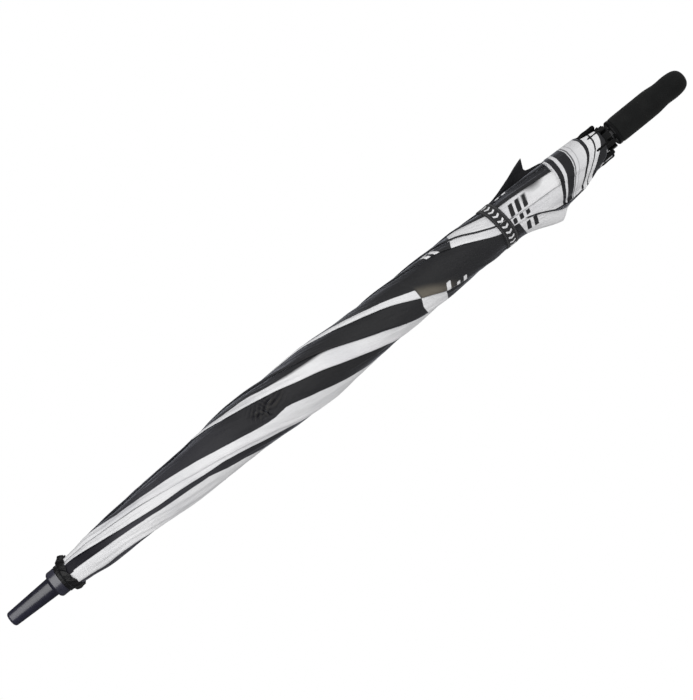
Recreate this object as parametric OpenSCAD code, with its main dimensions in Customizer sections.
// Stick umbrella, furled: a tube shaft with a foam grip and a hard ferrule,
// eight hinged ribs with stretchers driven by a sliding runner, and eight
// canopy panels held rolled by a tie strap.
// Frame: +Z runs from the grip end (z = 0) to the ferrule tip. Millimetres.

/* [Overall] */
// Length from grip end to ferrule tip
total_len = 950; // [930:5:970]
// Number of ribs, stretchers and canopy panels is fixed by the NODES list
rib_count = 8; // [8:8]
// Angle of the first rib about +Z, in degrees
rib_phase = -12; // [-40:1:40]

/* [Shaft] */
// Outer diameter of the shaft tube
shaft_d = 14; // [13:0.5:14]
// Wall thickness of the shaft tube
shaft_wall = 1.6; // [1.2:0.1:2.5]

/* [Ferrule] */
// Diameter of the ferrule at its tip
ferrule_tip_d = 17.6; // [16:0.2:19]
// Diameter of the ferrule where it meets its collar
ferrule_base_d = 22.2; // [20:0.2:24]
// Diameter of the ferrule collar
ferrule_collar_d = 31.6; // [30:0.2:33]
// Length of the collar
ferrule_collar_len = 12; // [9:0.5:14]

/* [Ribs] */
// Length of a rib from hinge to cap end
rib_len = 752; // [740:1:756]
// Diameter of the rib rod
rib_d = 3.5; // [3:0.1:3.6]
// Radius of the circle the rib hinges stand on
rib_hinge_r = 13.5; // [13.5:0.1:13.8]
// Outward lean of a closed rib, in degrees
rib_lean = 0.42; // [0.38:0.01:0.46]
// Distance from rib hinge to stretcher bracket
bracket_at = 335; // [320:5:345]

/* [Stretchers] */
// Diameter of the stretcher rod
stretcher_d = 3.2; // [2.6:0.1:3.2]
// Radius at which a closed stretcher lies
stretcher_r = 11.5; // [11.3:0.1:11.7]

/* [Runner] */
// Height of the runner's lower end when closed
runner_z = 104.5; // [104:0.5:106]
// Overall length of the runner
runner_len = 54; // [50:1:60]
// Diameter over the runner's fins
runner_fin_d = 29; // [27:0.5:29.5]

/* [Grip] */
// Diameter of the straight part of the grip
grip_d = 30.4; // [29:0.2:31]
// Length of the foam grip
grip_len = 96; // [90:1:98]

/* [Canopy] */
// Largest radius of the furled canopy
furl_r = 33.9; // [31:0.1:36]
// Height of the hem of the furled canopy solids
hem_z = 143; // [141:1:150]
// Width of the tie strap
strap_w = 16; // [12:1:20]
// Height of the middle of the tie strap
strap_z = 263; // [260:0.5:276]

/* [Hidden] */
$fn = 64;

fit = 0.05;                                  // radial clearance of pins and rods in their holes
wire_r = 0.6;                                // both retaining wires
shaft_r = shaft_d / 2;
shaft_z0 = 20;
shaft_z1 = total_len - 12;
collar_z1 = total_len - 60;                  // upper face of the ferrule collar
collar_z0 = collar_z1 - ferrule_collar_len;
hinge_z = collar_z0 - 14;                    // height of the rib hinges
pin_off = rib_hinge_r + bracket_at * sin(rib_lean) - stretcher_r; // bracket pin inward of the rod
bracket_pin_z = hinge_z - bracket_at * cos(rib_lean) - pin_off * sin(rib_lean);
runner_pivot_z = runner_z + runner_len - 8.5;
stretcher_len = bracket_pin_z - runner_pivot_z;
step_deg = 360 / rib_count;

// rib k stands at this angle; numbers run clockwise seen from the ferrule
function rib_deg(k) = rib_phase - step_deg * (k - 1);

// middle of the gap on the counterclockwise side of rib k
function gap_deg(k) = rib_deg(k) + step_deg / 2;
latch_deg = gap_deg(1);

// ---------- small shapes ----------
module ring(outer_r, inner_r, height) difference() {
  cylinder(r = outer_r, h = height);
  translate([0, 0, -1]) cylinder(r = inner_r, h = height + 2);
}

// box from x and z upwards, centred on y = 0
module mid_box(x, z, size) translate([x, -size[1] / 2, z]) cube(size);

// pin along Y, centred on the origin
module cross_pin(r, len)
  rotate([90, 0, 0]) translate([0, 0, -len / 2]) cylinder(r = r, h = len, $fn = 32);

module wire_section(bend_r) translate([bend_r, 0]) circle(r = wire_r, $fn = 24);

// children in the frame of rib k: origin at its hinge, X outward, rib along -Z
module at_rib(k) rotate([0, 0, rib_deg(k)]) translate([rib_hinge_r, 0, hinge_z])
  rotate([0, -rib_lean, 0]) children();

// ---------- shaft and ferrule ----------
module shaft() color("#1b1b1d") difference() {
  translate([0, 0, shaft_z0]) cylinder(r = shaft_r, h = shaft_z1 - shaft_z0);
  translate([0, 0, shaft_z0 - 1])
    cylinder(r = shaft_r - shaft_wall, h = shaft_z1 - shaft_z0 + 2);
  notch_pin_hole();
  handle_pin_hole();
}

module ferrule() {
  bore_r = shaft_r + 0.15;
  bore_z1 = shaft_z1 + 0.6;
  collar_r = ferrule_collar_d / 2;
  base_r = ferrule_base_d / 2;
  tip_r = ferrule_tip_d / 2;
  // [radius, z]
  color("#2a2a2e") rotate_extrude($fn = 96) polygon([
    [bore_r, collar_z0], [collar_r, collar_z0],
    [collar_r, collar_z0 + 9.2], [collar_r - 0.4, collar_z1 - 1.6],
    [collar_r - 1.6, collar_z1 - 0.3], [collar_r - 2.6, collar_z1],
    [base_r + 0.6, collar_z1 + 0.4], [base_r, collar_z1 + 1.4],
    [tip_r, total_len - 2.6], [tip_r - 0.5, total_len - 1.1],
    [tip_r - 1.6, total_len - 0.2], [tip_r - 2.4, total_len], [0, total_len],
    [0, bore_z1], [bore_r, bore_z1]]);
}

// ---------- top notch ----------
notch_r = rib_hinge_r + 2.2;
notch_groove = 0.8;    // half width and depth of the wire groove
notch_pin_r = 1.2;

// rod through the shaft axis, square to it, above the rib hinges
module notch_rod(r, len) rotate([0, 0, latch_deg]) translate([0, 0, hinge_z + 5.2])
  rotate([0, 90, 0]) translate([0, 0, -len / 2]) cylinder(r = r, h = len, $fn = 32);

module notch_pin_hole() notch_rod(r = notch_pin_r + fit, len = 40);

module notch_pin() color("silver") notch_rod(r = notch_pin_r, len = 2 * (notch_r - 1));

module top_notch() color("#202022") difference() {
  translate([0, 0, hinge_z - 7]) cylinder(r = notch_r, h = 16);
  translate([0, 0, hinge_z - 8]) cylinder(r = shaft_r + fit, h = 20);
  // rib slots, open at the bottom
  for (k = [1 : rib_count]) rotate([0, 0, rib_deg(k)])
    mid_box(rib_hinge_r - 2.3, hinge_z - 8, [10, 2.7, 12.6]);
  translate([0, 0, hinge_z - notch_groove])
    ring(rib_hinge_r + 4, rib_hinge_r - notch_groove, 2 * notch_groove);
  notch_pin_hole();
}

module notch_wire() color("silver") translate([0, 0, hinge_z])
  rotate_extrude() wire_section(rib_hinge_r);

// gathered fabric washer under the ferrule collar
module rosette() {
  inner_r = notch_r + 0.5;
  height = 9.2;
  // [radius, height above the lower face]
  color("#151517") translate([0, 0, collar_z0 - 9.5]) rotate_extrude() polygon([
    [inner_r, 0], [18.2, 0], [21.4, 2.6], [21.8, 5.2], [19.4, 7.6],
    [16.9, height], [inner_r, height]]);
}

// ---------- handle ----------
core_r = 10;
core_z0 = 14;
handle_pin_r = 1.5;
handle_pin_z = 60;

module handle_pin_hole() translate([0, 0, handle_pin_z]) cross_pin(handle_pin_r + fit, 40);

module handle_pin() color("silver")
  translate([0, 0, handle_pin_z]) cross_pin(handle_pin_r, 2 * (core_r - 0.4));

module handle_core() color("#111111") difference() {
  translate([0, 0, core_z0]) cylinder(r = core_r, h = grip_len - core_z0);
  translate([0, 0, shaft_z0 - 0.5]) cylinder(r = shaft_r + 0.1, h = grip_len);
  handle_pin_hole();
}

module grip() {
  grip_r = grip_d / 2;
  bore_r = core_r + 0.08;
  bore_z0 = core_z0 - 0.1;
  // [radius, z]
  color("#0d0f0e") rotate_extrude($fn = 96) polygon([
    [0, 0], [4.5, 0], [7.6, 1.1], [10.1, 3.2], [12.0, 6.0], [13.2, 9.6], [13.9, 14],
    [14.1, 19], [13.9, 24], [13.6, 29], [13.75, 33], [14.3, 38], [14.9, 43], [grip_r, 48],
    [grip_r, grip_len - 5], [grip_r - 0.2, grip_len - 1.2], [grip_r - 0.9, grip_len],
    [bore_r, grip_len], [bore_r, bore_z0], [0, bore_z0]]);
}

// glossy plastic cup that ends the grip towards the runner
module grip_collar() {
  bore_r = shaft_r + 0.1;
  height = 5.6;
  // [radius, height above the grip]
  color("#1c1c1f") translate([0, 0, grip_len + 0.05]) rotate_extrude($fn = 96) polygon([
    [bore_r, 0], [14.2, 0], [14.9, 0.8], [15.0, 3.4], [14.6, 4.6],
    [13.4, height], [bore_r, height]]);
}

// ---------- runner ----------
fin_r = runner_fin_d / 2;
runner_body_r = 9.0;
runner_wire_deg = 22.4;            // arc of wire between two slots
pocket_z = runner_z + 4;           // latch pocket
pocket_w = 4.5;
pocket_h = 17;
button_gap = 0.2;                  // latch button to pocket, each side
button_x = 12.0;
button_depth = 4.0;
spring_x = 9.5;
spring_w = 2.8;
spring_thick = 0.35;

// wide outside and thin inside, so that the slots keep parallel walls
module runner_fin() linear_extrude(height = runner_len) polygon([
  [8.2, -1.1], [8.2, 1.1], [fin_r - 0.8, 3.3], [fin_r, 2.4],
  [fin_r, -2.4], [fin_r - 0.8, -3.3]]);

module runner() color("#141416") difference() {
  translate([0, 0, runner_z]) union() {
    cylinder(r = runner_body_r, h = runner_len);
    cylinder(r1 = 11.4, r2 = runner_body_r, h = 24);
    for (k = [1 : rib_count]) rotate([0, 0, gap_deg(k)]) runner_fin();
  }
  translate([0, 0, runner_z - 1]) cylinder(r = shaft_r + 0.25, h = runner_len + 2);
  // seat of the retaining wire in the fins
  translate([0, 0, runner_pivot_z - 0.75]) ring(stretcher_r + 0.7, stretcher_r - 0.7, 1.5);
  // chamfered crown
  translate([0, 0, runner_z + runner_len - 3]) difference() {
    cylinder(r = 20, h = 4);
    translate([0, 0, -1]) cylinder(r1 = fin_r + 1, r2 = fin_r - 4, h = 5);
  }
  // pocket of the latch button
  rotate([0, 0, latch_deg]) mid_box(9.4, pocket_z, [10, pocket_w, pocket_h]);
}

// the wire that holds the stretchers, cut short at every slot
module runner_wire() color("silver") for (k = [1 : rib_count])
  rotate([0, 0, gap_deg(k) - runner_wire_deg / 2]) translate([0, 0, runner_pivot_z])
    rotate_extrude(angle = runner_wire_deg) wire_section(stretcher_r);

module latch_button() color("#26262a") rotate([0, 0, latch_deg]) difference() {
  mid_box(button_x, pocket_z + button_gap,
    [button_depth, pocket_w - 2 * button_gap, pocket_h - 2 * button_gap]);
  // grooves across the outer face
  for (z = [7 : 2.5 : 17]) mid_box(button_x + button_depth - 0.4, runner_z + z, [2, 6, 0.9]);
}

// upright leaf with a flat arm reaching out to the button
module latch_spring() color("silver") rotate([0, 0, latch_deg]) {
  mid_box(spring_x, runner_z + 6, [spring_thick, spring_w, 13]);
  mid_box(spring_x + spring_thick - 0.01, runner_z + 11.5, [2.1, spring_w, 0.4]);
}

// ---------- ribs ----------
rod_top = 14;          // rod's upper end below the hinge
rod_bottom = 4;        // rod's lower end above the end of its cap
rod_bore_r = rib_d / 2 + fit;
rivet_r = 0.8;
ear_w = 5.2;           // width over the bracket ears

module rib(k) color("#3a3a3c") at_rib(k) translate([0, 0, -rib_len + rod_bottom])
  cylinder(d = rib_d, h = rib_len - rod_bottom - rod_top, $fn = 32);

// hinge eye, neck and socket for the rod
module hinge_socket() difference() {
  union() {
    cross_pin(1.95, 2.2);
    mid_box(-1.8, -12, [3.6, 2.2, 12]);
    translate([0, 0, -30]) cylinder(r = 2.5, h = 20, $fn = 32);
  }
  cross_pin(0.85, 6);
  translate([0, 0, -31]) cylinder(r = rod_bore_r, h = 31.2 - rod_top, $fn = 32);
}

// saddle on the rod with two inward ears and their rivet; z = 0 at the rivet
module stretcher_bracket() {
  difference() {
    union() {
      translate([0, 0, -9]) cylinder(r = 3.05, h = 18, $fn = 32);
      mid_box(-pin_off, -4.5, [pin_off, ear_w, 9]);
      translate([-pin_off, 0, 0]) cross_pin(1.9, ear_w);
    }
    translate([0, 0, -10]) cylinder(r = rod_bore_r, h = 20, $fn = 32);
    mid_box(-pin_off - 4, -11, [pin_off + 2, 2.5, 15]);
    translate([-pin_off, 0, 0]) cross_pin(rivet_r + fit, 8);
  }
  translate([-pin_off, 0, 0]) cross_pin(rivet_r, ear_w + 1);
}

module rib_fittings(k) color("#232325") at_rib(k) {
  hinge_socket();
  translate([0, 0, -bracket_at]) stretcher_bracket();
}

// cap on the lower end of the rod; outline is [radius, height above the cap end]
module rib_tip(k) color("#101011") at_rib(k) translate([0, 0, -rib_len]) difference() {
  rotate_extrude($fn = 32) polygon([
    [0, 0], [1.5, 0.2], [2.4, 1.1], [2.75, 2.6], [2.7, 9],
    [3.1, 14], [3.1, 17], [2.5, 20], [2.3, 24], [0, 24]]);
  translate([0, 0, rod_bottom - 0.1]) cylinder(d = 2 * rod_bore_r, h = 25, $fn = 32);
}

// ---------- stretchers ----------
tang_len = 12;         // flat end between pivot and rod
tang_lap = 2;          // length of tang sunk in the rod

module stretcher(k) color("#4a4a4d") rotate([0, 0, rib_deg(k)])
  translate([stretcher_r, 0, runner_pivot_z]) difference() {
    union() {
      translate([0, 0, tang_len - tang_lap])
        cylinder(d = stretcher_d, h = stretcher_len - 2 * (tang_len - tang_lap), $fn = 32);
      for (end = [0, 1]) translate([0, 0, end * stretcher_len]) {
        cross_pin(1.75, 2);
        mid_box(-1.5, -end * tang_len, [3, 2, tang_len]);
      }
    }
    cross_pin(0.9, 6);
    translate([0, 0, stretcher_len]) cross_pin(rivet_r + fit, 6);
  }

// ---------- canopy ----------
strap_z0 = strap_z - strap_w / 2;
strap_z1 = strap_z + strap_w / 2;
waist = 0.737;         // share of furl_r left under the strap
panel_gap_deg = 2;     // between neighbouring panels

// outer side from the hem to the crown: [z, radius as a share of furl_r]
furl_stations = [
  [hem_z, 0.690], [160, 0.735], [178, 0.752], [210, 0.765], [240, 0.765],
  [strap_z0 - 2, 0.760], [strap_z0 - 1, waist], [strap_z1 + 1, waist], [strap_z1 + 2, 0.760],
  [343, 0.805], [400, 0.842], [455, 0.885], [485, 0.930], [520, 1.000], [565, 0.990],
  [620, 0.950], [675, 0.870], [730, 0.780], [785, 0.700], [814, 0.668], [825, 0.650]];

// outlines of the loose corners: [x, z]
corner_8 = [[22.5, 252], [25, 252], [44, 200], [40, 196], [25, 197], [22.5, 203]];
corner_4 = [[-22.5, 250], [-25, 250], [-39.5, 208], [-37, 201], [-31, 194], [-25, 191],
  [-22.5, 196]];

// inner radius at height z, clear of the ribs and their fittings
function furl_inner_r(z) = 17.6 + (hinge_z - 18 - z) * 0.0066;

// up the outer side, then down the inner side at every fourth station
module furl_profile() polygon(concat(
  [for (station = furl_stations) [furl_r * station[1], station[0]]],
  [for (i = [len(furl_stations) - 1 : -4 : 0])
    [furl_inner_r(furl_stations[i][0]), furl_stations[i][0]]]));

module loose_corner(outline)
  rotate([90, 0, 0]) translate([0, 0, -1]) linear_extrude(height = 2) polygon(outline);

// panel k fills the sector between rib k and rib k + 1
module canopy_panel(k) color(k % 2 == 0 ? "#232426" : "#c9c9cd") {
  rotate([0, 0, rib_deg(k + 1) + panel_gap_deg / 2])
    rotate_extrude(angle = step_deg - panel_gap_deg, $fn = 96) furl_profile();
  // two panels keep a loose corner that stands off the roll
  if (k == 8) loose_corner(corner_8);
  if (k == 4) loose_corner(corner_4);
}

// ---------- tie strap ----------
strap_inner_r = furl_r * waist + 0.3;
tab_start_deg = rib_deg(8) + 3;
tab_end_deg = rib_deg(7) - 3;

module tie_strap() color("#17171a")
  translate([0, 0, strap_z0]) ring(strap_inner_r + 1.1, strap_inner_r, strap_w);

// curved layer between two heights above strap_inner_r, trimmed in degrees at
// the ends of the tab and inset in mm at the strap's edges
module strap_layer(bottom, top, start_trim, end_trim, inset)
  rotate([0, 0, tab_start_deg + start_trim])
    rotate_extrude(angle = tab_end_deg - end_trim - tab_start_deg - start_trim, $fn = 96)
      translate([strap_inner_r + bottom, strap_z0 + inset])
        square([top - bottom, strap_w - 2 * inset]);

// free end of the strap, lying over the middle of panel 7
module strap_tab() color("#17171a")
  strap_layer(bottom = 2.0, top = 2.9, start_trim = 0, end_trim = 0, inset = 0.2);

module strap_hook_patch() color("#0c0c0d")
  strap_layer(bottom = 1.62, top = 2.0, start_trim = 4, end_trim = 9, inset = 2);

module strap_loop_patch() color("#0c0c0d")
  strap_layer(bottom = 1.12, top = 1.55, start_trim = 1, end_trim = 5, inset = 1.5);

shaft();
ferrule();
top_notch();
notch_wire();
notch_pin();
rosette();
runner();
runner_wire();
latch_button();
latch_spring();
handle_core();
grip();
grip_collar();
handle_pin();
tie_strap();
strap_tab();
strap_loop_patch();
strap_hook_patch();
rib(1);  // rib_1
rib(2);  // rib_2
rib(3);  // rib_3
rib(4);  // rib_4
rib(5);  // rib_5
rib(6);  // rib_6
rib(7);  // rib_7
rib(8);  // rib_8
rib_fittings(1);  // rib_fittings_1
rib_fittings(2);  // rib_fittings_2
rib_fittings(3);  // rib_fittings_3
rib_fittings(4);  // rib_fittings_4
rib_fittings(5);  // rib_fittings_5
rib_fittings(6);  // rib_fittings_6
rib_fittings(7);  // rib_fittings_7
rib_fittings(8);  // rib_fittings_8
rib_tip(1);  // rib_tip_1
rib_tip(2);  // rib_tip_2
rib_tip(3);  // rib_tip_3
rib_tip(4);  // rib_tip_4
rib_tip(5);  // rib_tip_5
rib_tip(6);  // rib_tip_6
rib_tip(7);  // rib_tip_7
rib_tip(8);  // rib_tip_8
stretcher(1);  // stretcher_1
stretcher(2);  // stretcher_2
stretcher(3);  // stretcher_3
stretcher(4);  // stretcher_4
stretcher(5);  // stretcher_5
stretcher(6);  // stretcher_6
stretcher(7);  // stretcher_7
stretcher(8);  // stretcher_8
canopy_panel(1);  // canopy_panel_1
canopy_panel(2);  // canopy_panel_2
canopy_panel(3);  // canopy_panel_3
canopy_panel(4);  // canopy_panel_4
canopy_panel(5);  // canopy_panel_5
canopy_panel(6);  // canopy_panel_6
canopy_panel(7);  // canopy_panel_7
canopy_panel(8);  // canopy_panel_8
